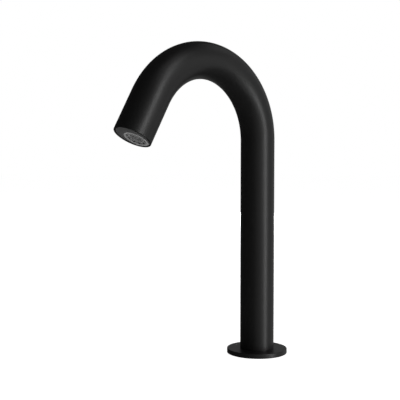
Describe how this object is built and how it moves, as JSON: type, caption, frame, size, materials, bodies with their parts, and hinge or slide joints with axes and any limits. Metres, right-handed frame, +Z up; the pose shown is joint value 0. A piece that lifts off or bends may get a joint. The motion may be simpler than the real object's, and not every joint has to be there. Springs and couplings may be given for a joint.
{
  "type": "sensor tap",
  "caption": "Tall swan-neck deck-mounted touchless tap: round tube spout with an infrared sensor beside the aerator, disc base, hollow threaded shank with back nut and clamp washers.",
  "frame": {"origin": "centre of the base flange's underside, which rests on the deck", "axes": "+Z up along the column; the spout reaches towards -Y in the plane x = 0; +X to the right seen from the user's side"},
  "size_m": [0.0572, 0.1933, 0.3615],
  "materials": {
    "black_coat": "matt black powder coat",
    "brass": "turned brass",
    "steel": "stainless or zinc-plated steel",
    "rubber": "black rubber",
    "smoked_plastic": "infrared-clear dark plastic, satin",
    "grey_plastic": "light grey moulded plastic",
    "white_plastic": "natural moulded plastic",
    "black_plastic": "black moulded plastic",
    "hose": "reinforced silicone hose",
    "cable": "round cable jacket",
    "board": "green circuit board",
    "diode_clear": "clear tinted resin",
    "diode_dark": "dark filter resin",
    "resin": "cast resin",
    "gold": "gold-plated contacts"
  },
  "bodies": {
    "tap": {"spout_tube": "black_coat", "base_insert": "brass", "base_flange": "black_coat", "flange_o_ring": "rubber", "deck_gasket": "rubber", "threaded_shank": "brass", "base_grub_screw": "steel", "inlet_plug": "brass", "lead_socket": "black_plastic", "lead_socket_pins": "gold", "inner_hose": "hose", "inlet_hose_ferrule": "steel", "outlet_hose_ferrule": "steel", "sensor_cable": "cable", "outlet_block": "grey_plastic", "outlet_block_o_ring": "rubber", "outlet_grub_screw": "steel", "face_plate": "smoked_plastic", "sensor_housing": "black_plastic", "infrared_emitter": "diode_clear", "infrared_receiver": "diode_dark", "sensor_board": "board", "sensor_potting": "resin"},
    "clamp_washers": {"rubber_clamp_washer": "rubber", "steel_clamp_washer": "steel"},
    "nut": {"back_nut": "brass"},
    "aerator_seal": {"aerator_washer": "rubber"},
    "aerator": {"aerator_housing": "grey_plastic", "aerator_screen": "grey_plastic", "aerator_diffuser": "white_plastic", "flow_regulator": "white_plastic", "aerator_filter": "white_plastic"}
  },
  "joints": [
    {"name": "clamp_slide", "type": "slide", "parent": "tap", "child": "clamp_washers", "axis": [0, 0, 1], "range_m": [-0.0211, 0.0171]},
    {"name": "nut_turn", "type": "hinge", "parent": "clamp_washers", "child": "nut", "pos_m": [0, 0, -0.03], "axis": [0, 0, 1], "range_deg": [-5040, 4080]},
    {"name": "aerator_slide", "type": "slide", "parent": "tap", "child": "aerator_seal", "axis": [0, -0.5, -0.866], "range_m": [0, 0.00501]},
    {"name": "aerator_turn", "type": "hinge", "parent": "aerator_seal", "child": "aerator", "pos_m": [0, -0.14418, 0.20561], "axis": [0, -0.5, -0.866], "range_deg": [0, 1800]}
  ],
  "couplings": [
    {"joint": "clamp_slide", "follows": "nut_turn", "m_per_rad": 0.00023873},
    {"joint": "aerator_slide", "follows": "aerator_turn", "m_per_rad": 0.00015915}
  ]
}
